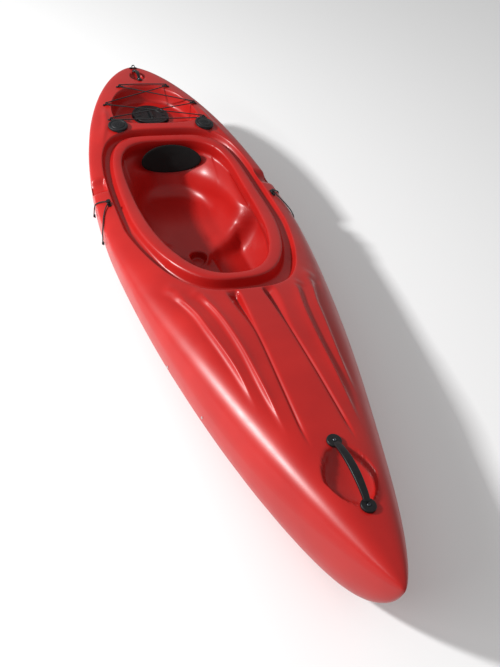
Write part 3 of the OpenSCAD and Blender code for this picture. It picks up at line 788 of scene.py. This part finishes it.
black_nylon = fitting_finish(
    "black_nylon", (0.004, 0.004, 0.005), (0.011, 0.011, 0.012),
    rough=0.36, metal=0.0, grain_scale=700, grain_depth=0.35)
black_rubber = fitting_finish(
    "black_rubber", (0.005, 0.005, 0.006), (0.013, 0.013, 0.015),
    rough=0.46, metal=0.0, grain_scale=420, grain_depth=0.4)
pad_foam = fitting_finish(
    "pad_foam", (0.002, 0.002, 0.002), (0.005, 0.005, 0.005),
    rough=0.85, metal=0.0, grain_scale=900, grain_depth=0.8)
stainless = fitting_finish(
    "stainless", (0.50, 0.51, 0.53), (0.68, 0.69, 0.71),
    rough=0.28, metal=1.0, grain_scale=300, grain_depth=0.12, stretch=(1, 8, 1))
dark_steel = fitting_finish(
    "dark_steel", (0.05, 0.055, 0.065), (0.16, 0.17, 0.19),
    rough=0.25, metal=1.0, grain_scale=300, grain_depth=0.12)
turned_brass = fitting_finish(
    "turned_brass", (0.48, 0.33, 0.12), (0.62, 0.45, 0.20),
    rough=0.33, metal=1.0, grain_scale=300, grain_depth=0.1)
braided_cord = fitting_finish(
    "braided_cord", (0.004, 0.004, 0.005), (0.012, 0.012, 0.014),
    rough=0.7, metal=0.0, grain_scale=1100, grain_depth=1.0, sheen=0.15)
finish_of_slot = {"hull_plastic": hull_plastic, "black_plastic": black_nylon, "rubber": black_rubber,
                  "steel": stainless, "brass": turned_brass, "cord": braided_cord, "foam": pad_foam}
slot_of_node = {part["node"]: part["material_slot"] for part in frame["record"]["subparts"]}
for node_name, node_object in nodes.items():
    node_object.data.materials.clear()
    small_screw = node_name.endswith("_screws") or "screws_" in node_name
    node_object.data.materials.append(dark_steel if small_screw else finish_of_slot[slot_of_node[node_name]])
print("finishes", sorted(finish_of_slot))

# %% [markdown]
# ## Places on the deck
# A fitting sits square to the deck where it is screwed. The frame of such a
# place is the deck point, tilted by the deck's two slopes there.

# %% Deck frames
def deck_frame(x, y, side):
    slope_x = math.atan((deck_z(x + 2, y) - deck_z(x - 2, y)) / 4)
    slope_y = math.atan((deck_z(x, y + 2) - deck_z(x, y - 2)) / 4)
    turn = Matrix.Rotation(-slope_x, 4, "Y") @ Matrix.Rotation(slope_y, 4, "X")
    return Matrix.Diagonal((1, side, 1, 1)) @ Matrix.Translation((x, y, deck_z(x, y))) @ turn


def handle_frame(x, span):
    fore, aft = deck_z(x + span / 2, 0), deck_z(x - span / 2, 0)
    lean = Matrix.Rotation(-math.atan((fore - aft) / span), 4, "Y")
    return Matrix.Translation((x, 0, (fore + aft) / 2)) @ lean


def placed(points, frame_matrix):
    return [tuple(mm * c for c in frame_matrix @ Vector(p)) for p in points]


def turned_cage(profile, around):
    """A shape turned about Z. The profile's (radius, height) pairs run from the axis to the axis."""
    points, faces = [], []
    rings = profile[1:-1]
    points.append((0, 0, profile[0][1]))
    for r, z in rings:
        for a in range(around):
            t = 2 * math.pi * a / around
            points.append((r * math.cos(t), r * math.sin(t), z))
    points.append((0, 0, profile[-1][1]))
    top = len(points) - 1
    for a in range(around):
        b = (a + 1) % around
        faces.append((0, 1 + b, 1 + a))
        for k in range(len(rings) - 1):
            o = 1 + k * around
            faces.append((o + a, o + b, o + around + b, o + around + a))
        o = 1 + (len(rings) - 1) * around
        faces.append((top, o + a, o + b))
    return points, faces


fitting_levels = 2


def finished(name, cage, frame_matrix, material, body="hull", mirrored=False):
    points, faces = cage
    if mirrored:
        faces = [tuple(reversed(f)) for f in faces]
    piece = new_piece(name, placed(points, frame_matrix), faces, body)
    piece.data.materials.append(material)
    rounding = piece.modifiers.new("rounding", "SUBSURF")
    rounding.levels = rounding.render_levels = fitting_levels
    return piece


# %% [markdown]
# ## Carry handles
# Each handle is a moulded grip: two round pads, and an arched strap that swells
# in the middle. The strap is a rounded bar swept along an arc.

# %% Handles
def joined(*cages):
    points, faces = [], []
    for p, f in cages:
        n = len(points)
        points += p
        faces += [tuple(n + i for i in face) for face in f]
    return points, faces


def shifted(cage, dx, dy=0):
    return [(p[0] + dx, p[1] + dy, p[2]) for p in cage[0]], cage[1]


def strap_cage(span, rise, width, thick, base, steps=14):
    outline = [(-1, -0.6), (-0.8, -1), (0.8, -1), (1, -0.6), (1, 0.6), (0.8, 1), (-0.8, 1), (-1, 0.6)]
    points, faces = [], []
    for i in range(steps + 1):
        f = i / steps
        x = (f - 0.5) * (span - 14)
        arch = math.sin(math.pi * f) ** 0.75
        z = base + rise * arch
        steepness = max(0.15, math.sin(math.pi * f)) ** -0.25
        slope = math.atan2(rise * 0.75 * math.pi * math.cos(math.pi * f) * steepness, span)
        swell = 0.82 + 0.28 * math.sin(math.pi * f)
        for u, v in outline:
            w, t = u * width / 2 * swell, v * thick / 2
            points.append((x - t * math.sin(slope), w, z + t * math.cos(slope)))
    n = len(outline)
    for i in range(steps):
        for a in range(n):
            b = (a + 1) % n
            faces.append((i * n + b, i * n + a, i * n + n + a, i * n + n + b))
    faces.append(tuple(range(n)))
    faces.append(tuple(steps * n + a for a in reversed(range(n))))
    return points, faces


def pad_profile(r, h):
    return [(0, 0.2), (r - 2, 0.2), (r - 0.3, 0.2), (r, 0.6), (r, h - 3), (r - 1.2, h - 1), (r - 4, h),
            (8.2, h), (7.6, h), (7.4, h - 0.8), (7.2, h - 2), (0, h - 2)]


def button_profile(r, z0, h):
    return [(0, z0), (r, z0), (r, z0 + h * 0.4), (r * 0.82, z0 + h * 0.85), (r * 0.4, z0 + h),
            (r * 0.34, z0 + h - 0.3), (r * 0.3, z0 + h * 0.45), (0, z0 + h * 0.45)]


# node, middle x, span, rise, strap width, pad radius, pad height
handle_sizes = [("bow_handle", 1126, 241, 24, 26, 25, 10), ("stern_handle", -1397, 92, 14, 16, 14, 6.5)]
for name, x, span, rise, width, pad_r, pad_h in handle_sizes:
    here = handle_frame(x, span) @ Matrix.Translation((0, 0, 0.6))
    pad = turned_cage(pad_profile(pad_r, pad_h), 20)
    strap = strap_cage(span, rise, width, 0.45 * width, pad_h - 4)
    grip = joined(shifted(pad, -span / 2), shifted(pad, span / 2), strap)
    handle = finished(name + "_grip", grip, here, black_nylon)
    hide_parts(name)
    button = turned_cage(button_profile(6.8, pad_h - 2, 4.6), 12)
    buttons = joined(shifted(button, -span / 2), shifted(button, span / 2))
    bolts = finished(name + "_buttons", buttons, here, dark_steel)
    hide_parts(name + "_bolts")
    print(name, "grip", len(grip[0]), "cage points")

# %% [markdown]
# ## Hatch cover
# The cover is a turned disc with two raised rings, twelve short ribs between them
# and a low bar to grip. Turning the profile once gives every ring true and round.

# %% Hatch cover
def bar_cage(length, width, z0, z1, taper=0.86):
    points = []
    for z, k in ((z0, 1.0), (z0 + (z1 - z0) * 0.25, 1.0), (z0 + (z1 - z0) * 0.85, taper), (z1, taper * 0.9)):
        for sx, sy in ((-1, -1), (0, -1), (1, -1), (1, 0), (1, 1), (0, 1), (-1, 1), (-1, 0)):
            points.append((sx * length / 2 * k, sy * width / 2 * k, z))
    faces = [tuple(reversed(range(8)))]
    for r in range(3):
        for a in range(8):
            b = (a + 1) % 8
            faces.append((r * 8 + a, r * 8 + b, r * 8 + 8 + b, r * 8 + 8 + a))
    faces.append(tuple(24 + a for a in range(8)))
    return points, faces


hatch_low, hatch_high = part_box("hatch_cover")
hatch_x, hatch_rise = -1120, 11.2
rib_count, rib_ring = 12, 61
hatch_here = Matrix.Translation((hatch_x, 0, well_z + hatch_rise))
cover_profile = [
    (0, 0.2), (84, 0.2), (87.5, 0.2), (88, 1), (88, 4.6), (86.5, 6), (80, 6), (78.5, 5.8), (77.5, 3.6),
    (75, 3.4), (73.5, 5.2), (70, 5.6), (52, 5.6), (50.5, 5.4), (49.5, 3.2), (46, 3.0), (0, 3.0)]
ribs = []
for a in range(rib_count):
    t = math.radians(30 * a + 15)
    rib_points, rib_faces = bar_cage(20, 5, 4.6, 7.2, 0.92)
    turned = [(p[0] * math.cos(t) - p[1] * math.sin(t) + rib_ring * math.cos(t),
               p[0] * math.sin(t) + p[1] * math.cos(t) + rib_ring * math.sin(t), p[2])
              for p in rib_points]
    ribs.append((turned, rib_faces))
cover = finished("hatch_lid", joined(turned_cage(cover_profile, 32), bar_cage(90, 17, 2.5, 14.5), *ribs),
                 hatch_here, black_nylon, "hatch_lid")
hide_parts("hatch_cover")
print("hatch cover from", [round(c, 3) for c in hatch_low], "to", [round(c, 3) for c in hatch_high])

# %% [markdown]
# ## Rod-holder caps
# Each rubber cap is turned too, with five ribs to grip. It flips up on a hinge at
# its fore edge, so it rides its own body, and a plain tab stands for the hinge.

# %% Caps
cap_x, cap_y, cap_lift = -933, 207, 2.4
ridge_pitch = 7.5
cap_profile = [
    (0, 8.2), (42, 8.2), (43.4, 7), (43.5, 1.4), (44, 1), (44.8, 1.2), (45, 3), (45, 9), (43.2, 11.4),
    (38, 12), (35.2, 12), (34, 11.4), (33.5, 10.2), (31.5, 10), (30.5, 11), (29, 13), (24, 13.9), (0, 13.9)]
for side_name, side in (("left", 1), ("right", -1)):
    here = deck_frame(cap_x, cap_y, side) @ Matrix.Translation((0, 0, cap_lift))
    ridges = [shifted(bar_cage(34 - 2.2 * k ** 2, 3.4, 12.6, 15.6), 0, ridge_pitch * k)
              for k in (-2, -1, 0, 1, 2)]
    hinge_tab = shifted(bar_cage(10, 22, 1.4, 4.6, 0.95), 45)
    cap_cage = joined(turned_cage(cap_profile, 24), hinge_tab, *ridges)
    cap = finished("rod_cap_" + side_name + "_rubber", cap_cage, here, black_rubber,
                   "rod_cap_" + side_name, mirrored=side < 0)
    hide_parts("rod_cap_" + side_name)
    print(side_name, "cap", len(cap_cage[0]), "cage points")

# %% [markdown]
# ## Back pad
# The pad is a sheet of closed-cell foam glued to the aft wall of the cockpit:
# an oval, slightly crowned, with a rounded edge all round.

# %% Back pad
pad_low, pad_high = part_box("back_pad")
pad_middle, pad_lean = (-821, 12, 236), -17
pad_half_width, pad_half_height, pad_thick, pad_bend = 145, 66, 12, 330.0


def back_pad_cage():
    lean = Matrix.Translation(pad_middle) @ Matrix.Rotation(math.radians(pad_lean), 4, "Y")
    # share of the way out to the edge, share of the way through the foam
    rings = [(0.0, 0.0), (0.25, 0.0), (0.5, 0.0), (0.75, 0.02), (0.9, 0.08), (0.97, 0.25),
             (1.0, 0.5), (0.97, 0.8), (0.9, 1.0), (0.5, 1.0), (0.0, 1.0)]
    points, around = [], 32
    for k, (r, depth) in enumerate(rings):
        count = 1 if r == 0 else around
        for a in range(count):
            t = 2 * math.pi * a / around
            y = pad_half_width * r * math.cos(t)
            z = pad_half_height * r * math.sin(t) * (1.05 if math.sin(t) > 0 else 0.95)
            front = pad_bend - math.sqrt((pad_bend - 18) ** 2 - y * y)
            x = front - pad_thick * depth + (1.5 * math.sin(math.pi * min(1, r)) if depth == 0 else 0)
            points.append(lean @ Vector((x, y, z)))
    faces = []
    for a in range(around):
        b = (a + 1) % around
        faces.append((0, 1 + a, 1 + b))
        for k in range(len(rings) - 3):
            o = 1 + k * around
            faces.append((o + b, o + a, o + around + a, o + around + b))
        o = 1 + (len(rings) - 3) * around
        faces.append((len(points) - 1, o + b, o + a))
    return points, faces


foam = finished("back_pad_foam", back_pad_cage(), Matrix.Identity(4), pad_foam)
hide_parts("back_pad")
print("back pad", [round(v, 3) for v in pad_low], [round(v, 3) for v in pad_high])

# %% [markdown]
# ## Cords
# The bungee is laced once through six pad eyes and knotted. Each paddle cord
# runs from an eye on the hull's side, round a button and down to a second eye.

# %% Cord routes
def cord_piece(name, route, diameter, node):
    curve = bpy.data.curves.new(name, "CURVE")
    curve.dimensions = "3D"
    curve.bevel_depth = mm * diameter / 2
    curve.bevel_resolution = 3
    curve.use_fill_caps = True
    line = curve.splines.new("NURBS")
    line.points.add(len(route) - 1)
    for point, place in zip(line.points, route):
        point.co = (mm * place[0], mm * place[1], mm * place[2], 1)
    line.order_u = 3
    line.use_endpoint_u = True
    line.resolution_u = 6
    curve.materials.append(braided_cord)
    piece = bpy.data.objects.new(name, curve)
    bpy.context.scene.collection.objects.link(piece)
    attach(piece, "hull")
    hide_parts(node)


cord_diameter = 5
eye_height = 7.3
pad_eyes = [(-1284, 116), (-1130, 214), (-995, 223)]


def eye_point(i, side):
    x, y = pad_eyes[i]
    return Vector((x, side * y, deck_z(x, y) + eye_height))


# pad eye, side of the hull, direction through the eye
lacing = [(2, -1, -1), (1, 1, -1), (0, -1, -1), (0, 1, 1), (1, -1, 1), (2, 1, 1)]
through_eye = [(-11.5, 5), (-10, 1.5), (-6.5, 0), (0, 0), (6.5, 0), (10, 1.5), (11.5, 5)]
knot = eye_point(2, 1) + Vector((11, -14, -1))
bungee_route = [knot]
for i, (eye, side, way) in enumerate(lacing):
    c = eye_point(eye, side)
    for dx, dy in through_eye:
        bungee_route.append(c + Vector((dx * way, -dy * side, 0)))
    if i == 2:
        bungee_route.append((eye_point(0, 1) + eye_point(0, -1)) * 0.5 + Vector((-11.5, 0, 2)))
bungee_route.append(knot)
cord_piece("bungee", bungee_route, cord_diameter, "tank_well_bungee")
paddle_route = [
    (-452, 417, 208), (-452, 417, 226), (-451, 417, 246), (-448, 416, 264), (-443, 409, 276),
    (-436, 396, 286), (-424, 374, 296), (-421.3, 364.6, 298.2), (-415, 361, 299.1),
    (-408.7, 364.6, 298.2), (-406, 374, 296), (-385, 388, 288), (-350, 402, 281),
    (-318, 411, 275), (-290, 418, 267), (-272, 423, 250), (-263, 423, 230), (-262, 423, 208)]
for side_name, side in (("left", 1), ("right", -1)):
    route = [(x, side * y, z) for x, y, z in paddle_route]
    cord_piece("paddle_cord_" + side_name + "_braid", route, cord_diameter, "paddle_cord_" + side_name)
print("bungee", round(sum((b - a).length for a, b in zip(bungee_route, bungee_route[1:])) / 1000, 2), "m")
